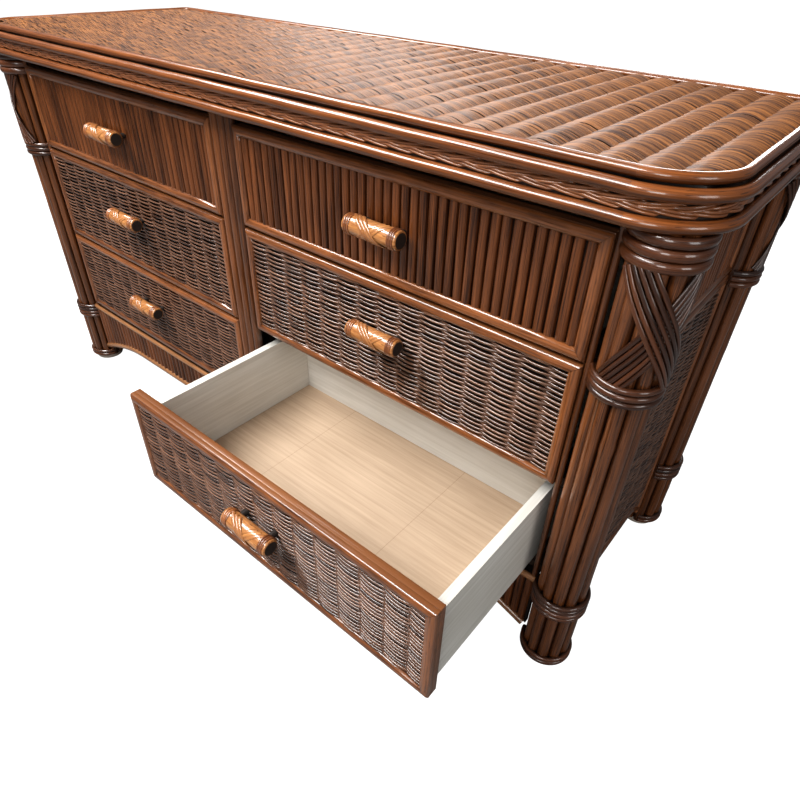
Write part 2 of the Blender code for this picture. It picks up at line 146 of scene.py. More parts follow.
def rods(name, paths, radius, up=(0, 0, 1), sides=8, flat=1.0, closed=False, shades=None, mitre=False):
    """A mesh of rods round the given lines of points: paths has the shape (rods, points, 3)."""
    paths = np.asarray(paths, float)
    count, points = paths.shape[:2]
    radius = np.broadcast_to(radius, (count, points)).astype(float)
    up = np.broadcast_to(np.asarray(up, float), paths.shape)
    if closed:
        ahead, behind = np.roll(paths[:, :-1], -1, 1), np.roll(paths[:, :-1], 1, 1)
        along = unit(ahead - behind)
        along = np.concatenate([along, along[:, :1]], 1)
    else:
        along = unit(np.gradient(paths, axis=1))
        ends = [0, *range(points), points - 1]
        paths, along, up, radius = paths[:, ends], along[:, ends], up[:, ends], radius[:, ends].copy()
        radius[:, [0, -1]] = 0.0
        points += 2
    out = unit(up - (up * along).sum(-1, keepdims=True) * along)
    side = np.cross(along, out)
    travelled = np.concatenate([np.zeros((count, 1)),
                                np.linalg.norm(np.diff(paths, axis=1), axis=-1).cumsum(1)], 1)
    mesh = mesh_of(name, numbered_grids(count, points - 1, sides))
    grid = np.zeros(len(mesh.vertices) * 3)
    mesh.vertices.foreach_get("co", grid)
    grid = grid.reshape(-1, 3)
    ring = np.rint((grid[:, 0] + 0.5) * (points - 1)).astype(int)
    spoke = np.rint((grid[:, 1] + 0.5) * sides).astype(int)
    rod = np.rint(grid[:, 2]).astype(int)
    angle = spoke * (2 * math.pi / sides)
    reach = radius[rod, ring][:, None]
    sideways = reach * np.cos(angle)[:, None]
    outwards = flat * reach * np.sin(angle)[:, None]
    where = paths[rod, ring] + sideways * side[rod, ring] + outwards * out[rod, ring]
    if mitre:
        lean = np.where(ring <= 1, -1.0, np.where(ring >= points - 2, 1.0, 0.0))[:, None]
        where += lean * sideways * along[rod, ring]
    mesh.vertices.foreach_set("co", where.ravel())
    shades = rng.random(count) if shades is None else np.broadcast_to(shades, (count,))
    mesh.attributes["shade"].data.foreach_set("value", shades[rod].astype(np.float32))
    corner = np.zeros(len(mesh.loops), int)
    mesh.loops.foreach_get("vertex_index", corner)
    uv = np.stack([travelled[rod, ring] + 0.37 * rod, spoke / sides], -1)[corner]
    mesh.uv_layers["UVMap"].data.foreach_set("uv", uv.ravel())
    weld(mesh)
    return mesh


def weld(mesh, sharp=70.0):
    """Closes a mesh's seams, points its faces outwards and shades it smooth."""
    bm = bmesh.new()
    bm.from_mesh(mesh)
    bmesh.ops.remove_doubles(bm, verts=bm.verts, dist=1e-6)
    bmesh.ops.recalc_face_normals(bm, faces=bm.faces)
    bm.to_mesh(mesh)
    bm.free()
    mesh.shade_smooth()
    mesh.set_sharp_from_angle(angle=math.radians(sharp))


def joined(name, *meshes):
    """One mesh out of several, which are used up."""
    bm = bmesh.new()
    materials = []
    for mesh in meshes:
        for used in mesh.materials:
            if used not in materials:
                materials.append(used)
        start = len(bm.faces)
        bm.from_mesh(mesh)
        bm.faces.ensure_lookup_table()
        if mesh.materials:
            number = materials.index(mesh.materials[0])
            for face in bm.faces[start:]:
                face.material_index = number
        bpy.data.meshes.remove(mesh)
    whole = mesh_of(name, bm)
    for used in materials:
        whole.materials.append(used)
    return whole


# %% [markdown]
# ## Nodes in a few words
# Shader trees are long to write out by hand. This helper adds one node, sets its values and links
# its inputs in a single line, so a material below reads like a sentence.

# %% Node helper
def add(tree, kind, inputs=None, **settings):
    """Adds a node, sets its properties, and sets or links each input by name or number."""
    made = tree.nodes.new(kind)
    for key, value in settings.items():
        setattr(made, key, value)
    for key, value in (inputs or {}).items():
        if isinstance(value, bpy.types.NodeSocket):
            tree.links.new(value, made.inputs[key])
        else:
            made.inputs[key].default_value = value
    return made


def math_node(tree, operation, first, second=0.0, third=0.0, clamp=False):
    values = {0: first, 1: second, 2: third}
    return add(tree, "ShaderNodeMath", values, operation=operation, use_clamp=clamp).outputs[0]


def fade(tree, value, start, end):
    """0 at one value, 1 at the other, and straight in between."""
    return add(tree, "ShaderNodeMapRange", {"Value": value, "From Min": start, "From Max": end}).outputs[0]


def mix_colours(tree, share, first, second, blend="MIX"):
    mixed = add(tree, "ShaderNodeMix", {0: share, 6: first, 7: second}, data_type="RGBA", blend_type=blend)
    return mixed.outputs[2]


def finish_from(name, group, values, strength, distance):
    """A material whose colour and fine relief come from a node group with these inputs."""
    material = bpy.data.materials.new(name)
    material.use_nodes = True
    tree = material.node_tree
    shader = tree.nodes["Principled BSDF"]
    skin = add(tree, "ShaderNodeGroup", values, node_tree=group)
    relief = add(tree, "ShaderNodeBump", {"Height": skin.outputs["Height"], "Strength": strength,
                                          "Distance": distance})
    tree.links.new(skin.outputs["Colour"], shader.inputs["Base Color"])
    tree.links.new(relief.outputs["Normal"], shader.inputs["Normal"])
    if "Roughness" in skin.outputs:
        tree.links.new(skin.outputs["Roughness"], shader.inputs["Roughness"])
    print("finish:", name)
    return material, shader.inputs


def new_group(name, inputs, outputs):
    """An empty node group with named sockets, and its input and output nodes."""
    tree = bpy.data.node_groups.new(name, "ShaderNodeTree")
    for label, kind, value in inputs:
        socket = tree.interface.new_socket(label, in_out="INPUT", socket_type=kind)
        socket.default_value = value
    for label, kind in outputs:
        tree.interface.new_socket(label, in_out="OUTPUT", socket_type=kind)
    return tree, tree.nodes.new("NodeGroupInput").outputs, tree.nodes.new("NodeGroupOutput")


# %% [markdown]
# ## Rattan skin
# Lacquered rattan is streaked along its length, and no two canes are the same brown. The streaks
# are a noise that is stretched along the rod: the UV map runs in metres one way and once round the
# rod the other way. Turning the second number into a circle, with a sine and a cosine, lets the
# pattern close on itself without a seam. The `shade` attribute makes each rod paler or deeper. A
# painted shade darkens the side of a rod that faces inwards, where little light comes: it is shadow
# painted into the colour.

# %% Rattan skin group
# A dark brown for knots, and the near black of the painted shade on a rod's inward side.
SPECK_BROWN, PAINTED_SHADE_BROWN = (0.02, 0.008, 0.004, 1), (0.006, 0.003, 0.002, 1)


def rattan_group():
    tree, given, result = new_group(
        "rattan skin",
        [("Pale", "NodeSocketColor", (0.5, 0.25, 0.1, 1)), ("Deep", "NodeSocketColor", (0.1, 0.04, 0.02, 1)),
         ("Streaks per metre", "NodeSocketFloat", 18.0), ("Fineness", "NodeSocketFloat", 5.0),
         ("Variation", "NodeSocketFloat", 0.6), ("Specks", "NodeSocketFloat", 0.6),
         ("Painted shade", "NodeSocketFloat", 0.8), ("Smoothest", "NodeSocketFloat", 0.2)],
        [("Colour", "NodeSocketColor"), ("Roughness", "NodeSocketFloat"), ("Height", "NodeSocketFloat")])
    uv = add(tree, "ShaderNodeUVMap", uv_map="UVMap").outputs["UV"]
    run = add(tree, "ShaderNodeSeparateXYZ", {0: uv}).outputs
    turn = math_node(tree, "MULTIPLY", run[1], 2 * math.pi)
    across = math_node(tree, "COSINE", turn)
    upward = math_node(tree, "SINE", turn)
    shade = add(tree, "ShaderNodeAttribute", attribute_name="shade").outputs["Fac"]

    def streaks(per_metre, fineness, detail):
        place = add(tree, "ShaderNodeCombineXYZ", {
            0: math_node(tree, "MULTIPLY", run[0], per_metre),
            1: math_node(tree, "MULTIPLY", across, fineness),
            2: math_node(tree, "MULTIPLY", upward, fineness)}).outputs[0]
        return add(tree, "ShaderNodeTexNoise", {"Vector": place, "Scale": 1.0, "Detail": detail,
                                                "Roughness": 0.6}).outputs["Fac"]

    fine = streaks(given["Streaks per metre"], given["Fineness"], 5.0)
    broad = streaks(5.0, 0.8, 2.0)
    speck = streaks(70.0, 4.0, 1.0)
    blend = math_node(tree, "MULTIPLY_ADD", math_node(tree, "SUBTRACT", fine, 0.5), 2.6, broad)
    leaning = math_node(tree, "MULTIPLY", math_node(tree, "SUBTRACT", shade, 0.5), given["Variation"])
    tone = math_node(tree, "ADD", blend, leaning, clamp=True)
    colour = mix_colours(tree, tone, given["Deep"], given["Pale"])
    dark = math_node(tree, "MULTIPLY", fade(tree, speck, 0.70, 0.76), given["Specks"])
    colour = mix_colours(tree, dark, colour, SPECK_BROWN)
    # Painted shade: the side of a rod that faces away from its up direction is mixed towards a near-black
    # brown.
    painted_shade_share = math_node(tree, "MULTIPLY", fade(tree, upward, 0.55, -0.35), given["Painted shade"])
    colour = mix_colours(tree, painted_shade_share, colour, PAINTED_SHADE_BROWN)
    tree.links.new(colour, result.inputs["Colour"])
    rough = math_node(tree, "MULTIPLY_ADD", fine, 0.2, given["Smoothest"])
    tree.links.new(rough, result.inputs["Roughness"])
    tree.links.new(fine, result.inputs["Height"])
    return tree


RATTAN_SKIN = rattan_group()


def rattan_finish(name, pale, deep, per_metre=14.0, fineness=7.0, variation=0.6, specks=0.6, coat=0.55,
                  bump=0.0004, painted_shade=0.85, smoothest=0.2, coat_rough=0.12):
    """Lacquered rattan in two browns."""
    values = {"Pale": (*pale, 1), "Deep": (*deep, 1), "Streaks per metre": per_metre, "Fineness": fineness,
              "Variation": variation, "Specks": specks, "Painted shade": painted_shade, "Smoothest": smoothest}
    material, surface = finish_from(name, RATTAN_SKIN, values, 0.6, bump)
    surface["Coat Weight"].default_value = coat
    surface["Coat Roughness"].default_value = coat_rough
    surface["Specular IOR Level"].default_value = 0.35
    return material


# Each finish below sets its own strength for the painted shade on the inward side of its rods.
POLE = rattan_finish("lacquered pole", (0.29, 0.094, 0.023), (0.060, 0.016, 0.0045), coat=0.8, painted_shade=0.5)
POST = rattan_finish("post pole", (0.235, 0.082, 0.026), (0.020, 0.006, 0.0022), variation=0.4,
                     fineness=13, coat=0.7, painted_shade=0.95)
REED = rattan_finish("upright reed", (0.23, 0.078, 0.025), (0.018, 0.005, 0.0017), variation=0.4,
                     fineness=9, coat=0.4)
BINDING = rattan_finish("binding strand", (0.125, 0.040, 0.013), (0.016, 0.005, 0.002), per_metre=14,
                        fineness=14, coat=0.9)
WEAVE = rattan_finish("weave strand", (0.23, 0.115, 0.068), (0.028, 0.011, 0.006), per_metre=7, fineness=2,
                      variation=0.5, coat=1.0, painted_shade=1.0, smoothest=0.15)
HANDLE = rattan_finish("handle cane", (0.52, 0.235, 0.080), (0.21, 0.072, 0.022), per_metre=40, coat=0.9,
                       painted_shade=0.5)
HANDLE_BAND = rattan_finish("handle binding", (0.40, 0.155, 0.055), (0.11, 0.034, 0.012), per_metre=60,
                            coat=0.9, painted_shade=0.0)

# %% [markdown]
# ## Wood
# The boards are plain wood, seen mostly in shadow, and painted pale inside the drawers. Their
# grain is a stretched noise too, but on Object coordinates, because a board is straight. One node
# group makes it, and each board says along which axis its grain runs.

# %% Wood grain group
SEAM_WIDTH, SEAM_START = 0.0009, 40.3          # the second one is a number of strips


def wood_group():
    tree, given, result = new_group(
        "wood grain",
        [("Pale", "NodeSocketColor", (0.7, 0.6, 0.5, 1)), ("Deep", "NodeSocketColor", (0.5, 0.4, 0.3, 1)),
         ("Grain scale", "NodeSocketVector", (60.0, 3.0, 60.0)), ("Contrast", "NodeSocketFloat", 1.0),
         ("Seam spacing", "NodeSocketFloat", 10.0)],
        [("Colour", "NodeSocketColor"), ("Height", "NodeSocketFloat")])
    place = add(tree, "ShaderNodeTexCoord").outputs["Object"]
    stretched = add(tree, "ShaderNodeVectorMath", {0: place, 1: given["Grain scale"]},
                    operation="MULTIPLY").outputs[0]
    fine = add(tree, "ShaderNodeTexNoise", {"Vector": stretched, "Scale": 1.0, "Detail": 6.0,
                                            "Roughness": 0.62, "Distortion": 0.4}).outputs["Fac"]
    broad = add(tree, "ShaderNodeTexNoise", {"Vector": place, "Scale": 5.0, "Detail": 2.0}).outputs["Fac"]
    tone = math_node(tree, "ADD", math_node(tree, "MULTIPLY", math_node(tree, "SUBTRACT", fine, 0.5),
                                            given["Contrast"]), broad, clamp=True)
    colour = mix_colours(tree, tone, given["Deep"], given["Pale"])
    length = add(tree, "ShaderNodeSeparateXYZ", {0: place}).outputs[0]
    strip = math_node(tree, "DIVIDE", length, given["Seam spacing"])
    part = math_node(tree, "FRACT", math_node(tree, "ADD", strip, SEAM_START))
    part = math_node(tree, "MULTIPLY", part, given["Seam spacing"])
    seam = math_node(tree, "LESS_THAN", part, SEAM_WIDTH)
    colour = mix_colours(tree, math_node(tree, "MULTIPLY", seam, 0.4), colour, given["Deep"], "MULTIPLY")
    tree.links.new(colour, result.inputs["Colour"])
    tree.links.new(fine, result.inputs["Height"])
    return tree


WOOD_GRAIN = wood_group()
ALONG_X, ALONG_Y = (3.0, 90.0, 90.0), (90.0, 3.0, 90.0)


def wood_finish(name, pale, deep, grain, contrast=1.2, roughness=0.6, coat=0.0, seams=100.0):
    """Wood in two tones, with its grain along one axis."""
    values = {"Pale": (*pale, 1), "Deep": (*deep, 1), "Grain scale": grain, "Contrast": contrast,
              "Seam spacing": seams}
    material, surface = finish_from(name, WOOD_GRAIN, values, 0.35, 0.0004)
    surface["Roughness"].default_value = roughness
    surface["Coat Weight"].default_value = coat
    return material


STAIN = (0.05, 0.025, 0.014), (0.018, 0.009, 0.006)
PAINT = (0.74, 0.72, 0.67), (0.50, 0.47, 0.41)
STAINED_X = wood_finish("stained board along x", *STAIN, ALONG_X)
STAINED_Y = wood_finish("stained board along y", *STAIN, ALONG_Y)
MOULDING_BACK = wood_finish("front board", (0.27, 0.105, 0.036), (0.10, 0.035, 0.012), ALONG_X,
                            roughness=0.35, coat=0.4)
# Near black: painted shade, for the boards and sheets seen through the gaps of a filling.
PAINTED_SHADE_BOARD = wood_finish("board painted as shade behind a filling", (0.012, 0.006, 0.004), (0.004, 0.002, 0.0015), ALONG_X)
BACK_BOARD = wood_finish("back board", (0.13, 0.06, 0.026), (0.05, 0.02, 0.009), ALONG_X, 1.6, 0.5)
BOX_BACK = wood_finish("drawer box along x", *PAINT, (5.0, 150.0, 150.0), 1.3)
BOX_SIDE = wood_finish("drawer box along y", *PAINT, (150.0, 5.0, 150.0), 1.3)
PLYWOOD = wood_finish("drawer plywood", (0.58, 0.435, 0.31), (0.38, 0.27, 0.18), (5.0, 160.0, 160.0), 1.5,
                      seams=0.27)
# Near black: the real dark ends of the handles, and painted shade where it is put on the handle pegs.
END_GRAIN_AND_SHADE = wood_finish("end grain and painted shade", (0.03, 0.018, 0.012), (0.008, 0.005, 0.004), (200.0, 200.0, 200.0))
GLIDE = wood_finish("foot glide", (0.62, 0.52, 0.44), (0.42, 0.34, 0.28), ALONG_X, roughness=0.45)

# %% [markdown]
# ## The rim
# Three bent poles run right round the top. A real one is a long cane steamed and bent round a
# former, with wide corners at the front and nearly square ones at the back. Here a line of points
# goes once round the rectangle of the posts, a given distance outside it, and a rod follows it.

# %% Rim poles
FRONT_CORNER, BACK_CORNER = 0.0337, -0.034     # added to a line's distance outside the posts
RIM_STEP, RIM_WANDER = 0.008, 0.0002


def rim_line(outside, height, step):
    """Evenly spaced points once round the top, and how far along it each one lies."""
    half, low, high = post_x + outside, post_y[0] - outside, post_y[1] + outside
    points = []
    for sx, sy, first in ((1, -1, -90), (1, 1, 0), (-1, 1, 90), (-1, -1, 180)):
        radius = max(outside + (FRONT_CORNER if sy < 0 else BACK_CORNER), 0.002)
        centre_x = sx * (half - radius)
        centre_y = low + radius if sy < 0 else high - radius
        for turn in np.radians(np.linspace(first, first + 90, 19)):
            points.append((centre_x + radius * math.cos(turn), centre_y + radius * math.sin(turn)))
    points = np.array(points + points[:1])
    run = np.concatenate([[0], np.linalg.norm(np.diff(points, axis=0), axis=1).cumsum()])
    even = np.linspace(0, run[-1], round(run[-1] / step) + 1)
    line = np.stack([np.interp(even, run, points[:, 0]), np.interp(even, run, points[:, 1]),
                     np.full(len(even), height)], 1)
    return line, even


for node in ("rim_lower_pole", "rim_outer_pole", "rim_inner_pole"):
    low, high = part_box(node)
    thick = (high.z - low.z) / 2
    line = rim_line(high.x - thick - post_x, low.z + thick, RIM_STEP)[0]
    line[:-1, 2] += RIM_WANDER * np.sin(np.arange(len(line) - 1) * 0.31)
    line[-1] = line[0]
    cane = rods(node + "_cane", [line], thick, sides=14, closed=True, shades=0.6)
    new_piece(node + "_cane", cane, POLE, "carcass", [node])

# %% [markdown]
# ## The plaited band
# Between the lower and the outer pole runs a plait of three strands, each of two reeds laid side by
# side. Every strand follows the same wave up and down, a third of a wave behind the last one, and
# moves in and out twice as often. That is what makes each strand pass over one neighbour and under
# the other. Its way out to an edge is long and in sight, its way back is short and hidden under the
# next strand. The number of waves round the rim is whole, so the plait meets itself.

# %% Plaited band
PLAIT_WAVE, PLAIT_STEP, PLAIT_REED, PLAIT_DEPTH, ARM_SHARE = 0.108, 0.0036, 0.0018, 0.0025, 0.8
band_low, band_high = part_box("rim_braid")
band_middle = (band_low.z + band_high.z) / 2
rise = (band_high.z - band_low.z) / 2 - 1.4 * PLAIT_REED
line, run = rim_line(band_high.x - post_x - PLAIT_DEPTH, band_middle, PLAIT_STEP)
outward = unit(np.cross(unit(np.gradient(line, axis=0)), (0, 0, 1)))
outward[0] = outward[-1] = unit(outward[0] + outward[-1])
waves = round(run[-1] / PLAIT_WAVE)
strands = []
for strand in range(3):
    phase = 2 * (waves * run / run[-1] + strand / 3)
    side = 1 - 2 * (np.floor(phase + 1e-6) % 2)
    part = (phase + 1e-6) % 1
    arm = np.clip(part / ARM_SHARE, 0, 1)
    under = np.clip((part - ARM_SHARE) / (1 - ARM_SHARE), 0, 1)
    for reed in (-1, 1):
        path = line + outward * (PLAIT_DEPTH * (np.sin(math.pi * arm) - np.sin(math.pi * under)))[:, None]
        path[:, 2] += rise * side * (arm - under) + reed * 0.95 * PLAIT_REED
        strands.append(path)
plait = rods("rim_plait", strands, PLAIT_REED, up=outward[None], sides=7, closed=True,
             shades=[0.75, 0.6, 0.5, 0.7, 0.65, 0.45])
PLAIT = rattan_finish("plaited reed", (0.34, 0.13, 0.05), (0.07, 0.022, 0.008), per_metre=30, coat=0.9,
                      painted_shade=0.9)
new_piece("rim_plait", plait, PLAIT, "carcass", ["rim_braid"])
print("plait:", waves, "waves round the rim")

# %% [markdown]
# ## The woven top
# The top is woven from strands that run along the dresser, over one stake and under the next. Of
# each strand only the humps over the stakes are ever seen, so every hump is a short rod of its own
# that dives at both ends under its neighbours. Rows in one column are half a step out from the next
# column's. The tiny random shifts keep nearly four thousand of them from looking stamped.

# %% Woven top
TOP_STRAND, TOP_ROW, TOP_HUMP, TOP_COLUMNS = 0.0016, 0.0045, 0.0056, 36
BACK_GAP, UNDER_TOP = 0.007, 0.0002            # clear of the rim at the back, and below the CAD's top
top_low, top_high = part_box("top_panel")
TOP_WEAVE = rattan_finish("top weave strand", (0.28, 0.110, 0.030), (0.050, 0.016, 0.005), per_metre=30,
                          fineness=3, variation=0.7, coat=0.15, painted_shade=1.0, smoothest=0.44, coat_rough=0.16)
column_width = (top_high.x - top_low.x) / TOP_COLUMNS
corner = top_high.x - post_x + FRONT_CORNER
rows = int((top_high.y - top_low.y - BACK_GAP) / TOP_ROW)
run = np.linspace(-0.57, 0.57, 8)
for half, first in (("left", 0), ("right", TOP_COLUMNS // 2)):
    column, row = np.meshgrid(np.arange(first, first + TOP_COLUMNS // 2), np.arange(rows), indexing="ij")
    column, row = column.ravel()[:, None], row.ravel()[:, None]
    loose = rng.normal(0, 1, (3, len(column), 1))
    from_front = (row + 0.25 + 0.5 * (column % 2)) * TOP_ROW
    reach = top_high.x - corner + np.sqrt(corner ** 2 - np.clip(corner - from_front, 0, None) ** 2)
    x = top_low.x + (column + 0.5 + run[None]) * column_width
    seen = (np.abs(x[:, 3:5].mean(1, keepdims=True)) < reach - 0.004).ravel()
    x = np.clip(x, -reach, reach)
    y = top_low.y + from_front + 0.00045 * loose[0] + 0.0005 * loose[1] * run[None]
    crest = top_high.z - TOP_STRAND - UNDER_TOP
    z = crest - TOP_HUMP * (1 - np.cos(math.pi * run[None]))
    z = z + np.clip(0.0005 * loose[2], -0.0012, UNDER_TOP)
    humps = rods("top_weave_" + half, np.stack(np.broadcast_arrays(x, y, z), -1)[seen], TOP_STRAND, sides=5)
    new_piece("top_weave_" + half, humps, TOP_WEAVE, "carcass", ["top_panel"])

# %% [markdown]
# ## Boards
# A weave is nailed over a board, which keeps the light from falling through it. A board is a cube
# that is scaled to size, and a small bevel softens its edges as sandpaper does.

# %% Board under the top
TOP_MARGIN, TOP_DROP = 0.012, 0.0105


def block(name, low, high, soft):
    """The mesh of a box between two opposite corners, with slightly rounded edges."""
    low, high = Vector(low), Vector(high)
    bm = bmesh.new()
    bmesh.ops.create_cube(bm, size=1.0)
    bmesh.ops.scale(bm, vec=high - low, verts=bm.verts)
    bmesh.ops.translate(bm, vec=(low + high) / 2, verts=bm.verts)
    if soft:
        bmesh.ops.bevel(bm, geom=bm.edges, offset=soft, segments=2, profile=0.5, affect="EDGES",
                        material=-1)
    mesh = mesh_of(name, bm)
    mesh.shade_smooth()
    mesh.set_sharp_from_angle(angle=math.radians(35))
    return mesh


def board(name, low, high, finish, body, soft=0.0008, replaces=()):
    """A flat board between two opposite corners."""
    return new_piece(name, block(name, low, high, soft), finish, body, replaces)


# The board under the top is near black: painted shade seen through the gaps of the weave.
board("top_board", (top_low.x + TOP_MARGIN, top_low.y + TOP_MARGIN, top_low.z),
      (top_high.x - TOP_MARGIN, top_high.y - TOP_MARGIN, top_high.z - TOP_DROP), PAINTED_SHADE_BOARD, "carcass")

# %% [markdown]
# ## The posts
# Each corner post is ten thin poles round a core. Real cane swells a little at its nodes, so every
# pole's radius does too, at heights of its own. A pale glide under each post meets the floor.

# %% Posts
POST_RADIUS, POST_POLES, POST_POLE, POST_CORE = 0.0385, 10, 0.0091, 0.023
POLE_WANDER, NODE_SWELL, NODE_LENGTH = 0.0003, 0.05, 0.009
GLIDE_HEIGHTS, GLIDE_RADII = (0.0, 0.0015, 0.0125, 0.014), (0.030, 0.0325, 0.0325, 0.031)
CORNERS = {"front_left": (-1, 0), "front_right": (1, 0), "back_left": (-1, 1), "back_right": (1, 1)}
pole_foot, pole_head = 0.012, rim_foot
heights = np.linspace(pole_foot, pole_head, 76)


def post_centre(corner):
    side, end = CORNERS[corner]
    return np.array([side * post_x, post_y[end], 0.0])


def post_axis(corner, heights):
    """An upright line of points through the middle of a post, as a list of one line."""
    return [[tuple(post_centre(corner) + (0, 0, z)) for z in heights]]


def outer_angle(corner):
    """The direction, in degrees, in which a post's outer corner looks."""
    side, end = CORNERS[corner]
    return math.degrees(math.atan2(-1 if end == 0 else 1, side))


for corner in CORNERS:
    turn = 2 * math.pi * np.arange(POST_POLES) / POST_POLES
    outward = np.stack([np.cos(turn), np.sin(turn), 0 * turn], 1)
    axis = post_centre(corner) + (POST_RADIUS - POST_POLE) * outward
    path = np.repeat(axis[:, None], len(heights), 1)
    path[:, :, 2] = heights
    path[:, :, :2] += POLE_WANDER * np.sin(heights * 9 + rng.uniform(0, 6, (POST_POLES, 1)))[:, :, None]
    swell = np.ones((POST_POLES, len(heights)))
    for _ in range(2):
        node_at = rng.uniform(0.05, 0.72, (POST_POLES, 1))
        swell += NODE_SWELL * np.exp(-((heights - node_at) / NODE_LENGTH) ** 2)
    poles = rods("post_poles", path, POST_POLE * swell, up=outward[:, None], sides=12)
    core = rods("post_core", post_axis(corner, (pole_foot, pole_head)), POST_CORE, up=(0, 1, 0), sides=16)
    poles.materials.append(POST)
    core.materials.append(END_GRAIN_AND_SHADE)
    new_piece("post_poles_" + corner, joined("post_poles_" + corner, poles, core), None, "carcass",
              ["post_" + corner])
    foot = rods("foot", post_axis(corner, GLIDE_HEIGHTS), [GLIDE_RADII], up=(0, 1, 0), sides=32)
    new_piece("foot_glide_" + corner, foot, GLIDE, "carcass")

# %% [markdown]
# ## Bindings on the posts
# Split cane is wound round the posts: a collar of three turns under the rim, a ring of three below
# it, another of four near the foot, and one of two round the foot itself. Between collar and ring two flat
# straps of thin strands cross on the outer corner. A wound turn is a rod bent round part of a
# circle, flattened from the outside; it stops where the side panel or a drawer is in the way.

# %% Bindings
TO_PANEL, TO_INSIDE = 119.0, 130.0             # degrees from the outer corner to a wrap's two ends
TURN_DEPTH = 0.0042                            # half the thickness of a wound turn
STRAP_REACH = math.radians(62)                 # from the outer corner to a strap's end
STRAP_LAYERS = ((0.0012, 1), (0.0046, -1))     # height over the poles, and which way the strap climbs
STRAP_STRANDS, STRAP_PITCH, STRAP_STRAND, STRAP_FLAT = 6, 0.0061, 0.0029, 0.75
wrap_low, wrap_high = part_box("post_binding_front_right")
# Of each ring: its foot, its number of turns, the height of a turn and how far it stands proud.
RINGS = ((wrap_high.z - 0.0390, 3, 0.0130, 0.0075), (wrap_low.z, 3, 0.0093, 0.0064),
         (0.1387, 4, 0.00895, 0.0062), (0.0140, 2, 0.0090, 0.0050))


def sweep(corner):
    """From the side panel's end of a wrap to its inside end, in radians."""
    side, end = CORNERS[corner]
    clockwise = side * (1 if end == 0 else -1)
    middle = outer_angle(corner)
    return np.radians([middle + clockwise * TO_PANEL, middle - clockwise * TO_INSIDE])


for corner in CORNERS:
    centre = post_centre(corner)
    wraps = []
    for foot, turns, height, proud in RINGS:
        reach = POST_RADIUS + proud - TURN_DEPTH
        turn = np.linspace(*sweep(corner), 41)
        rings = [np.stack([centre[0] + reach * np.cos(turn), centre[1] + reach * np.sin(turn),
                           np.full(41, foot + (k + 0.5) * height)], 1) for k in range(turns)]
        out = np.stack([np.cos(turn), np.sin(turn), 0 * turn], 1)
        thick = height * 0.495
        wraps.append(rods("wrap", rings, thick, up=out[None], sides=12, flat=TURN_DEPTH / thick))
    low_z, high_z = RINGS[1][0] + 3 * RINGS[1][2] - 0.004, RINGS[0][0] + 0.004
    middle = math.radians(outer_angle(corner))
    share = np.linspace(-1, 1, 25)
    wide, tall = 2 * STRAP_REACH * POST_RADIUS, high_z - low_z
    for lift, slope in STRAP_LAYERS:
        straight = np.array([wide, slope * tall]) / math.hypot(wide, tall)
        reach = POST_RADIUS + lift
        strands = []
        for k in range(STRAP_STRANDS):
            aside = (k - (STRAP_STRANDS - 1) / 2) * STRAP_PITCH
            turn = middle + STRAP_REACH * share - aside * straight[1] / POST_RADIUS
            z = (low_z + high_z) / 2 + slope * share * tall / 2 + aside * straight[0]
            strands.append(np.stack([centre[0] + reach * np.cos(turn), centre[1] + reach * np.sin(turn),
                                     np.clip(z, low_z, high_z)], 1))
        strands = np.array(strands)
        out = strands - centre
        out[:, :, 2] = 0
        wraps.append(rods("strap", strands, STRAP_STRAND, up=out, sides=8, flat=STRAP_FLAT))
    new_piece("post_wraps_" + corner, joined("post_wraps_" + corner, *wraps), BINDING, "carcass",
              ["post_binding_" + corner])

# %% [markdown]
# ## Fillings
# A front is a flat board with a rounded moulding round its edge and a filling inside it. The two
# fillings are a plain weave and a row of upright reeds. Both are written for a plane that is given
# by three directions, so the same code fills the drawer fronts, the side panels and the apron.
# A strand of the weave runs level and swings in and out once every two stakes; each strand swings
# against the one below it.

# %% Fillings
STAKE_PITCH, STRAND_PITCH, STRAND, SWING = 0.0413, 0.0038, 0.0021, 0.0058
REED_PITCH, REED_WIDTH = 0.0151, 0.0070


class Plane:
    """A plane in which pieces are laid out: level along `across`, up along z, facing `out`."""

    def __init__(self, start, across, out):
        self.start, self.across, self.out = (np.array(v, float) for v in (start, across, out))

    def place(self, along, height, lift):
        along, height, lift = np.broadcast_arrays(along, height, lift)
        return (self.start + along[..., None] * self.across + lift[..., None] * self.out
                + height[..., None] * np.array((0.0, 0.0, 1.0)))


def woven(name, plane, lefts, rights, heights, crest):
    """Level strands between the given ends, swinging behind the crest."""
    lefts, rights, heights = (np.asarray(v, float)[:, None] for v in (lefts, rights, heights))
    points = int(5.5 * (rights - lefts).max() / STAKE_PITCH)
    along = lefts + (rights - lefts) * np.linspace(0, 1, points)[None]
    number = np.rint((heights - heights.min()) / STRAND_PITCH)
    swing = np.cos(math.pi * (along / STAKE_PITCH + number + 0.3))
    swing = np.sign(swing) * np.abs(swing) ** 0.8
    lift = crest - STRAND - SWING / 2 * (1 - swing)
    wander = 0.0004 * np.sin(along * 11 + rng.uniform(0, 6, heights.shape))
    wander = wander + rng.normal(0, 0.0003, heights.shape)
    return rods(name, plane.place(along, heights + wander, lift), STRAND, up=plane.out, sides=6)


def reed_centres(start, end):
    """The middles of the reeds that fill a stretch."""
    count = round((end - start) / REED_PITCH)
    return start + (np.arange(count) + 0.5) * (end - start) / count


def reeded(name, plane, centres, feet, heads, crest, lean=0.0008):
    """Upright reeds, of which the front half is seen."""
    centres, feet, heads = (np.broadcast_to(np.asarray(v, float), np.shape(centres))[:, None]
                            for v in (centres, feet, heads))
    share = np.linspace(0, 1, 12)[None]
    heights = feet + (heads - feet) * share
    along = centres + rng.normal(0, lean, centres.shape) * (share - 0.5)
    lift = crest - REED_WIDTH + rng.uniform(-0.0008, 0, centres.shape)
    return rods(name, plane.place(along, heights, lift), REED_WIDTH, up=plane.out, sides=12)


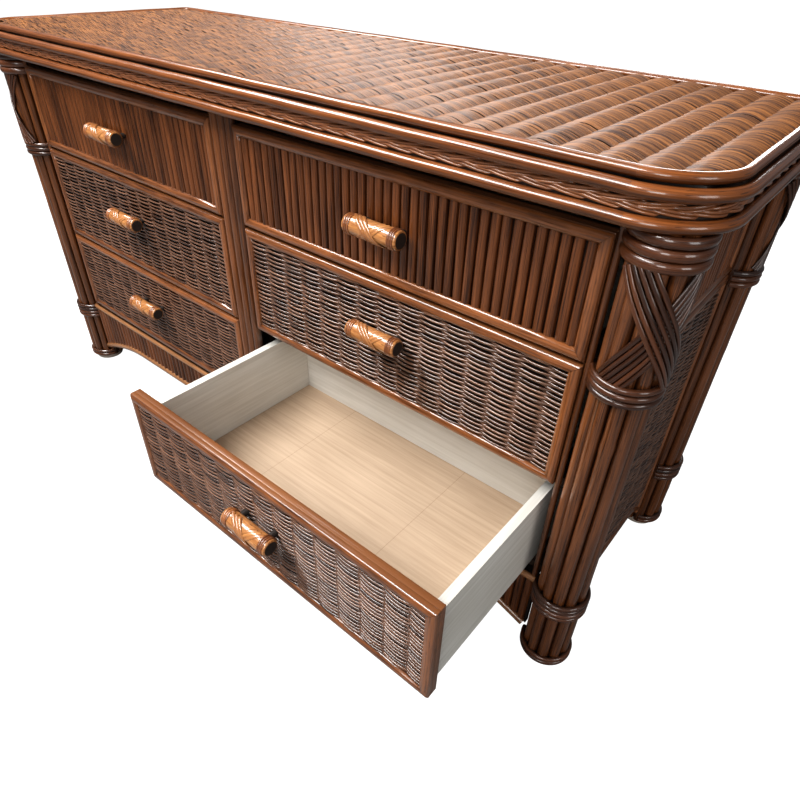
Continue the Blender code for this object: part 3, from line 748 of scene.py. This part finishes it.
def moulding(name, plane, left, right, foot, head, crest, width, depth):
    """Four flattened rods, mitred at the corners of a rectangle."""
    w, gap = width / 2, 0.00025
    corners = [(left + w, foot + w), (right - w, foot + w), (right - w, head - w), (left + w, head - w)]
    sides = []
    for here, there in zip(corners, corners[1:] + corners[:1]):
        here, there = np.array(here), np.array(there)
        along = (there - here) / np.linalg.norm(there - here)
        share = np.linspace(0, 1, 10)[:, None]
        line = here + along * gap + (there - here - 2 * along * gap) * share
        sides.append(plane.place(line[:, 0], line[:, 1], crest - depth / 2 + 0 * line[:, 0]))
    return rods(name, sides, w, up=plane.out, sides=16, flat=depth / width, mitre=True)


# %% [markdown]
# ## Drawer fronts
# The top row is filled with reeds and the two lower rows are woven. The back of a front is a thin
# board; a near-black sheet behind the filling is painted shade that gives the gaps between the strands their
# depth.

# %% Drawer fronts
MOULDING_WIDTH, MOULDING_DEPTH, INSIDE = 0.0162, 0.0112, 0.0147
BAR, BAR_FRONT, BAR_BACK = 0.0080, 0.0038, 0.0115            # the last two are behind the front's face
BOARD_FRONT, SHEET_FRONT, SHEET_BACK = 0.0112, 0.0108, 0.0114
EDGE_FINISH = rattan_finish("moulding cane", (0.27, 0.096, 0.030), (0.060, 0.019, 0.0065), per_metre=20,
                            fineness=3, variation=0.5, coat=0.9)
DRAWERS = [(row, row + "_" + column) for row in ("top", "middle", "bottom") for column in ("left", "right")]
for row, where in DRAWERS:
    body = "drawer_" + where
    low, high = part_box("drawer_front_" + where)
    plane = Plane((low.x, low.y, low.z), (1, 0, 0), (0, -1, 0))
    width, height = high.x - low.x, high.z - low.z
    edge = moulding("edge", plane, 0, width, 0, height, 0.0, MOULDING_WIDTH, MOULDING_DEPTH)
    new_piece("front_moulding_" + where, edge, EDGE_FINISH, body, ["drawer_front_" + where])
    if row == "top":
        filling = reeded("filling", plane, reed_centres(INSIDE, width - INSIDE), INSIDE - 0.003,
                         height - INSIDE + 0.003, -0.0028)
        new_piece("front_reeds_" + where, filling, REED, body)
    else:
        heights = np.arange(INSIDE - 0.001, height - INSIDE + 0.001, STRAND_PITCH)
        filling = woven("filling", plane, np.full(len(heights), INSIDE - 0.002),
                        np.full(len(heights), width - INSIDE + 0.002), heights, -0.0016)
        new_piece("front_weave_" + where, filling, WEAVE, body)
    bars = [((low.x, low.z), (high.x, low.z + BAR)), ((low.x, high.z - BAR), (high.x, high.z)),
            ((low.x, low.z + BAR), (low.x + BAR, high.z - BAR)),
            ((high.x - BAR, low.z + BAR), (high.x, high.z - BAR))]
    bars = [block("bar", (x0, low.y + BAR_FRONT, z0), (x1, low.y + BAR_BACK, z1), 0.0008)
            for (x0, z0), (x1, z1) in bars]
    new_piece("front_edge_" + where, joined("front_edge_" + where, *bars), MOULDING_BACK, body)
    board("front_board_" + where, (low.x, low.y + BOARD_FRONT, low.z), (high.x, high.y, high.z),
          MOULDING_BACK, body)
    # The sheet behind the filling is near black: painted shade in the gaps between strands or reeds.
    board("front_painted_shade_sheet_" + where, (low.x + INSIDE, low.y + SHEET_FRONT, low.z + INSIDE),
          (high.x - INSIDE, low.y + SHEET_BACK, high.z - INSIDE), PAINTED_SHADE_BOARD, body, soft=0)

# %% [markdown]
# ## Handles
# A handle is a short thick piece of cane with dark ends on two pegs. Three narrow strands bind it
# near each end, and flat strips of peel cross over its middle like an X, stuck down round the front.

# %% Handles
HANDLE_RADIUS, PEG_RADIUS, CAP_RADIUS, BAND_STRAND = 0.0138, 0.0055, 0.0108, 0.0018
HANDLE_PLACES = np.array([-1, -0.985, -0.94, -0.5, 0, 0.5, 0.94, 0.985, 1])
HANDLE_SHAPE = np.array([0.86, 0.965, 1, 1, 1, 1, 1, 0.965, 0.86])
PEG_FROM_MIDDLE, PEG_SINK, BAND_FROM_END = 0.031, 0.006, (0.0050, 0.0086, 0.0122)
PEEL_WIDTH, PEEL_PITCH, PEEL_RUN, PEEL_TURN = 0.0027, 0.0072, 0.026, math.radians(100)
for row, where in DRAWERS:
    low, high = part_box("drawer_handle_" + where)
    plane_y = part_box("drawer_front_" + where)[0].y
    x, z = (low.x + high.x) / 2, (low.z + high.z) / 2
    y = low.y + (high.z - low.z) / 2
    half = (high.x - low.x) / 2
    bar = rods("bar", [[(x + place, y, z) for place in HANDLE_PLACES * half]],
               [HANDLE_RADIUS * HANDLE_SHAPE], up=(0, -0.5, 0.87), sides=32, shades=0.6)
    pegs = rods("pegs", [[(x + s * PEG_FROM_MIDDLE, y + PEG_SINK, z),
                          (x + s * PEG_FROM_MIDDLE, plane_y + PEG_SINK, z)] for s in (-1, 1)],
                PEG_RADIUS, sides=16, shades=0.3)
    caps = rods("caps", [[(x + s * (half - 0.0006), y, z), (x + s * (half + 0.0003), y, z)]
                         for s in (-1, 1)], CAP_RADIUS, sides=32)
    turn = np.linspace(0, 2 * math.pi, 33)
    around = np.stack([0 * turn, np.cos(turn), np.sin(turn)], 1)
    rings = [np.array((x + s * (half - back), y, z)) + around * (HANDLE_RADIUS + 0.0004)
             for s in (-1, 1) for back in BAND_FROM_END]
    bands = rods("bands", rings, BAND_STRAND, up=around[None], sides=8, flat=0.55, closed=True)
    strips = []
    share = np.linspace(-1, 1, 21)
    for slope, lift in ((1, 0.0002), (-1, 0.0012)):
        turn = math.pi + share * PEEL_TURN * slope
        reach = HANDLE_RADIUS + lift
        for k in (-1, 0, 1):
            strips.append(np.stack([x + share * PEEL_RUN + k * PEEL_PITCH, y + reach * np.cos(turn),
                                    z - reach * np.sin(turn)], 1))
    strips = np.array(strips)
    out = strips - np.array((x, y, z))
    out[:, :, 0] = 0
    peel = rods("peel", strips, PEEL_WIDTH, up=out, sides=8, flat=0.32,
                shades=[0.4, 0.7, 0.5, 0.3, 0.6, 0.4])
    # The pegs take the near-black end-grain finish as painted shade, so they read as the shadow behind the
    # handle; the dark caps are the cane's real ends.
    parts = ((bar, HANDLE), (pegs, END_GRAIN_AND_SHADE), (caps, END_GRAIN_AND_SHADE), (bands, HANDLE_BAND), (peel, HANDLE))
    for part, finish in parts:
        part.materials.append(finish)
    new_piece("handle_" + where, joined("handle_" + where, *(part for part, finish in parts)), None,
              "drawer_" + where, ["drawer_handle_" + where])

# %% [markdown]
# ## The arched underside
# The underside of the side panels and of the apron rises in an arch, and a pole follows that curve.
# On a real dresser the pole is bent to shape first and the rest is cut to it. One function gives the
# height of the arch, so the pole, the board, the reeds and the weave all agree on it.

# %% Arch
ARCH_MIDDLE, ARCH_FOOT, ARCH_RUN, ARCH_INSET = 0.092, 0.042, 0.200, 0.004


def arch(along, length):
    """Height of an arched underside at a distance from its end."""
    rise_run = min(ARCH_RUN, 0.3 * length)
    share = np.clip(np.minimum(along, length - along) / rise_run, 0, 1)
    return ARCH_FOOT + (ARCH_MIDDLE - ARCH_FOOT) * np.sin(share * math.pi / 2)


def arch_pole(name, plane, length, radius, crest):
    share = np.sin(np.linspace(-math.pi / 2, math.pi / 2, 90)) / 2 + 0.5
    along = ARCH_INSET + share * (length - 2 * ARCH_INSET)
    place = plane.place(along, arch(along, length) + radius, crest - radius + 0 * along)
    return rods(name, [place], radius, up=plane.out, sides=14)


print("arch at the middle", float(arch(np.array(0.3), 0.6)), "m above the floor")

# %% [markdown]
# ## Side panels
# A side has two fields, reeds above and weave below, each in its own mouldings with a dark line
# between them. Near the arch a strand can't run right across, so it becomes two short ones: the
# loop finds how far each height is clear of the arch, and adds one or two pairs of ends.

# %% Side panels
SIDES = (("left", -1), ("right", 1))
FIELD_SPLIT, SPLIT_HALF, SIDE_POLE, SIDE_LIFT = 0.5765, 0.0025, 0.0070, -0.006
REEDS_FROM, WEAVE_FROM, ARCH_CLEAR, BOARD_SETBACK = 0.013, 0.011, 0.008, 0.0115
for side, sign in SIDES:
    low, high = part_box("side_panel_" + side)
    start = (high.x, low.y, 0) if sign > 0 else (low.x, high.y, 0)
    plane = Plane(start, (0, sign, 0), (sign, 0, 0))
    length = high.y - low.y
    upper = moulding("upper", plane, 0, length, FIELD_SPLIT + SPLIT_HALF, high.z, -0.001,
                     2 * SIDE_POLE, 0.0100)
    level = plane.place(np.linspace(0, length, 8), FIELD_SPLIT - SPLIT_HALF - SIDE_POLE, SIDE_LIFT)
    upright = [plane.place(at, np.linspace(ARCH_FOOT + 0.004, FIELD_SPLIT - 0.012, 8), SIDE_LIFT)
               for at in (SIDE_POLE, length - SIDE_POLE)]
    edges = [rods("edge", lines, SIDE_POLE, up=plane.out, sides=14, flat=0.72)
             for lines in ([level], upright)]
    lower = arch_pole("arch", plane, length, 0.0065, -0.0008)
    new_piece("side_mouldings_" + side, joined("side_mouldings_" + side, upper, *edges, lower), EDGE_FINISH,
              "carcass", ["side_panel_" + side])
    centres = reed_centres(REEDS_FROM, length - REEDS_FROM)
    filling = reeded("reeds", plane, centres, FIELD_SPLIT + 0.013, high.z - 0.011, -0.0035)
    new_piece("side_reeds_" + side, filling, REED, "carcass")
    lefts, rights, heights = [], [], []
    probe = np.linspace(WEAVE_FROM, length / 2, 200)
    for height in np.arange(ARCH_FOOT + 0.012, FIELD_SPLIT - 0.013, STRAND_PITCH):
        clear = probe[arch(probe, length) + ARCH_CLEAR < height]
        if len(clear) < 8:
            continue
        if clear[-1] > length / 2 - 0.004:
            ends = ((WEAVE_FROM, length - WEAVE_FROM),)
        else:
            ends = (WEAVE_FROM, clear[-1]), (length - clear[-1], length - WEAVE_FROM)
        for left, right in ends:
            lefts.append(left), rights.append(right), heights.append(height)
    filling = woven("weave", plane, lefts, rights, heights, -0.0030)
    new_piece("side_weave_" + side, filling, WEAVE, "carcass")

# %% [markdown]
# ## Boards behind the arched fillings
# Behind reeds and weave lies a near-black board, painted shade, cut along the same arch. It is a long thin
# grid made
# solid, whose lower vertices are then moved to the height of the arch.

# %% Side boards
def arched_board(name, low, high, axis, finish, body, replaces=(), raise_by=0.004):
    """A board between two corners, its length along an axis, whose underside follows the arch."""
    length = high[axis] - low[axis]
    bm = bmesh.new()
    bmesh.ops.create_grid(bm, x_segments=60, y_segments=1, size=0.5)
    bmesh.ops.solidify(bm, geom=bm.verts[:] + bm.edges[:] + bm.faces[:], thickness=1.0)
    other = 1 - axis
    deep = sorted(set(round(v.co.z, 4) for v in bm.verts))
    for v in bm.verts:
        share = 0.5 - 0.5 * math.cos((v.co.x + 0.5) * math.pi)
        foot = float(arch(np.array(share * length), length)) + raise_by
        place = Vector()
        place[axis] = low[axis] + share * length
        place[other] = low[other] if v.co.z < (deep[0] + deep[-1]) / 2 else high[other]
        place.z = foot if v.co.y < 0 else high.z
        v.co = place
    bmesh.ops.recalc_face_normals(bm, faces=bm.faces)
    return new_piece(name, mesh_of(name, bm), finish, body, replaces)


for side, sign in SIDES:
    low, high = (corner.copy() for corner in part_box("side_panel_" + side))
    if sign > 0:
        high.x -= BOARD_SETBACK
    else:
        low.x += BOARD_SETBACK
    arched_board("side_board_" + side, low, high, 1, PAINTED_SHADE_BOARD, "carcass")

# %% [markdown]
# ## Apron
# The apron under the lower drawers is a row of short reeds between a straight pole and an arched
# one. It is made on the same plane as a drawer front, only lower, with each reed's foot on the arch.

# %% Apron
APRON_POLE, APRON_ARCH_POLE = 0.0065, 0.0072
APRON_EDGE = rattan_finish("apron cane", (0.36, 0.17, 0.07), (0.13, 0.05, 0.02), per_metre=20, coat=0.7)
low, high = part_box("apron_front")
plane = Plane((low.x, low.y, 0), (1, 0, 0), (0, -1, 0))
length = high.x - low.x
level = plane.place(np.linspace(0, length, 16), high.z - APRON_POLE, -0.006)
top_edge = rods("edge", [level], APRON_POLE, up=plane.out, sides=14, flat=0.85, shades=0.9)
lower = arch_pole("arch", plane, length, APRON_ARCH_POLE, 0.0)
new_piece("apron_mouldings", joined("apron_mouldings", top_edge, lower), APRON_EDGE, "carcass",
          ["apron_front"])
centres = reed_centres(0.002, length - 0.002)
filling = reeded("reeds", plane, centres, arch(centres, length) + 0.011, high.z - 0.011, -0.0025)
new_piece("apron_reeds", filling, REED, "carcass")
# The board behind the apron reeds is near black: painted shade.
arched_board("apron_board", Vector((low.x, low.y + 0.0105, low.z)), high, 0, PAINTED_SHADE_BOARD, "carcass")

# %% [markdown]
# ## Centre stile
# Three upright poles side by side stand between the two columns of drawers and hide the partition.
# They share the width of the frame's stile, so their radius is a sixth of it.

# %% Centre stile
low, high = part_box("centre_stile")
thick = (high.x - low.x) / 6
upright = np.linspace(low.z, high.z, 30)
lines = [[(low.x + (2 * k + 1) * thick, low.y + thick, z) for z in upright] for k in range(3)]
poles = rods("stile_poles", lines, thick, up=(0, -1, 0), sides=16)
new_piece("stile_poles", poles, POST, "carcass", ["centre_stile"])

# %% [markdown]
# ## Back pole
# A pole along the lower edge of the back board, as its frame. It is one straight rod.

# %% Back pole
BACK_POLE = 0.0065
back_low, back_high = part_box("back_panel")
line = [(x, back_high.y + 0.0045, back_low.z + 0.006) for x in np.linspace(back_low.x, back_high.x, 40)]
pole = rods("back_pole", [line], BACK_POLE, up=(0, 1, 0), sides=14)
new_piece("back_pole", pole, POST, "carcass")

# %% [markdown]
# ## Edge poles
# A slim pole beside each outer post closes the gap that the drawers need to run in. It is as long as
# the stile and stands just clear of the fronts.

# %% Edge poles
EDGE_POLE, FRONT_GAP = 0.0045, 0.0007
edge_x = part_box("drawer_front_top_right")[1].x + FRONT_GAP + EDGE_POLE
lines = [[(s * edge_x, low.y + 0.004 + EDGE_POLE, z) for z in upright] for s in (-1, 1)]
poles = rods("edge_poles", lines, EDGE_POLE, up=(0, -1, 0), sides=12)
new_piece("edge_poles", poles, POST, "carcass")

# %% [markdown]
# ## Finishes on the frame's own boards
# The drawer boxes and the boards inside the carcass are right as they are. They only need wood on
# them, with the grain along each board, and a slightly softened edge, which a modifier gives.

# %% Finishes on the boards
WANTED = (("drawer_left", BOX_SIDE, 0.0012), ("drawer_right", BOX_SIDE, 0.0012),
          ("drawer_back", BOX_BACK, 0.0012), ("drawer_bottom", PLYWOOD, 0),
          ("back_panel", BACK_BOARD, 0.0008), ("centre_partition", STAINED_Y, 0.0008),
          ("dust_board", STAINED_X, 0.0008),
          ("top_frame", STAINED_X, 0), ("top_rail", STAINED_X, 0.001))
for name, node in nodes.items():
    for start, finish, soft in WANTED:
        if name.startswith(start):
            node.data.materials.clear()
            node.data.materials.append(finish)
            if soft:
                edge = node.modifiers.new("soft edge", "BEVEL")
                edge.width, edge.segments, edge.limit_method = soft, 2, "ANGLE"
print("boards finished")

# %% [markdown]
# ## Studio
# The floor is a flat pale sheet. The main light is a long strip over the front, and weaker lamps
# stand above, behind, to the right and in front. A dark floor and dim surroundings keep the lacquer
# brown, so a Light Path node makes both of them white for the camera only.

# %% Studio
FLOOR_GREY, FLOOR_GLOW, SKY_DIM = 0.20, 0.86, 0.16
bm = bmesh.new()
bmesh.ops.create_grid(bm, x_segments=1, y_segments=1, size=14.0)
mesh = mesh_of("floor", bm)
floor = bpy.data.objects.new("floor", mesh)
bpy.context.scene.collection.objects.link(floor)
paper = bpy.data.materials.new("floor paper")
paper.use_nodes = True
tree = paper.node_tree
shader = tree.nodes["Principled BSDF"]
shader.inputs["Base Color"].default_value = (FLOOR_GREY, FLOOR_GREY, FLOOR_GREY, 1)
shader.inputs["Roughness"].default_value = 0.9
shader.inputs["Specular IOR Level"].default_value = 0.1
seen = add(tree, "ShaderNodeLightPath").outputs["Is Camera Ray"]
glow = add(tree, "ShaderNodeMath", {0: seen, 1: FLOOR_GLOW}, operation="MULTIPLY").outputs[0]
shader.inputs["Emission Color"].default_value = (1.0, 1.0, 1.0, 1)
tree.links.new(glow, shader.inputs["Emission Strength"])
mesh.materials.append(paper)

world = bpy.data.worlds.new("studio")
world.use_nodes = True
tree = world.node_tree
dim = tree.nodes["Background"]
dim.inputs["Color"].default_value = (0.92, 0.95, 1.0, 1)
dim.inputs["Strength"].default_value = SKY_DIM
white = add(tree, "ShaderNodeBackground", {"Color": (1.0, 1.0, 1.0, 1), "Strength": 1.0})
seen = add(tree, "ShaderNodeLightPath").outputs["Is Camera Ray"]
both = add(tree, "ShaderNodeMixShader", {0: seen, 1: dim.outputs[0], 2: white.outputs[0]})
tree.links.new(both.outputs[0], tree.nodes["World Output"].inputs["Surface"])
bpy.context.scene.world = world

# Of each lamp: its name, place, what it looks at, its size in metres and its power in watts.
LIGHTS = (("strip_front", (-0.9, -1.1, 2.5), (0.0, -0.1, 0.4), (3.2, 0.6), 150.0),
          ("overhead", (-0.25, 0.8, 2.5), (0.3, 0.1, 0.8), (1.2, 0.4), 7.0),
          ("back_wall", (-0.2, 3.0, 1.4), (0.4, 0.1, 0.8), (1.4, 0.8), 22.0),
          ("right_fill", (3.0, -0.7, 1.3), (0.4, -0.1, 0.3), (1.0, 1.0), 16.0),
          ("front_fill", (1.4, -2.8, 1.6), (0.0, 0.0, 0.4), (1.0, 1.0), 26.0))
for name, at, towards, size, power in LIGHTS:
    lamp = bpy.data.lights.new(name, "AREA")
    lamp.shape, lamp.size, lamp.size_y, lamp.energy = "RECTANGLE", size[0], size[1], power
    lamp_object = bpy.data.objects.new(name, lamp)
    aim = (Vector(towards) - Vector(at)).to_track_quat("-Z", "Y").to_matrix().to_4x4()
    lamp_object.matrix_world = Matrix.Translation(at) @ aim
    bpy.context.scene.collection.objects.link(lamp_object)
bpy.context.scene.view_settings.view_transform = "Standard"
bpy.context.scene.view_settings.look = "Medium High Contrast"
print("studio ready")
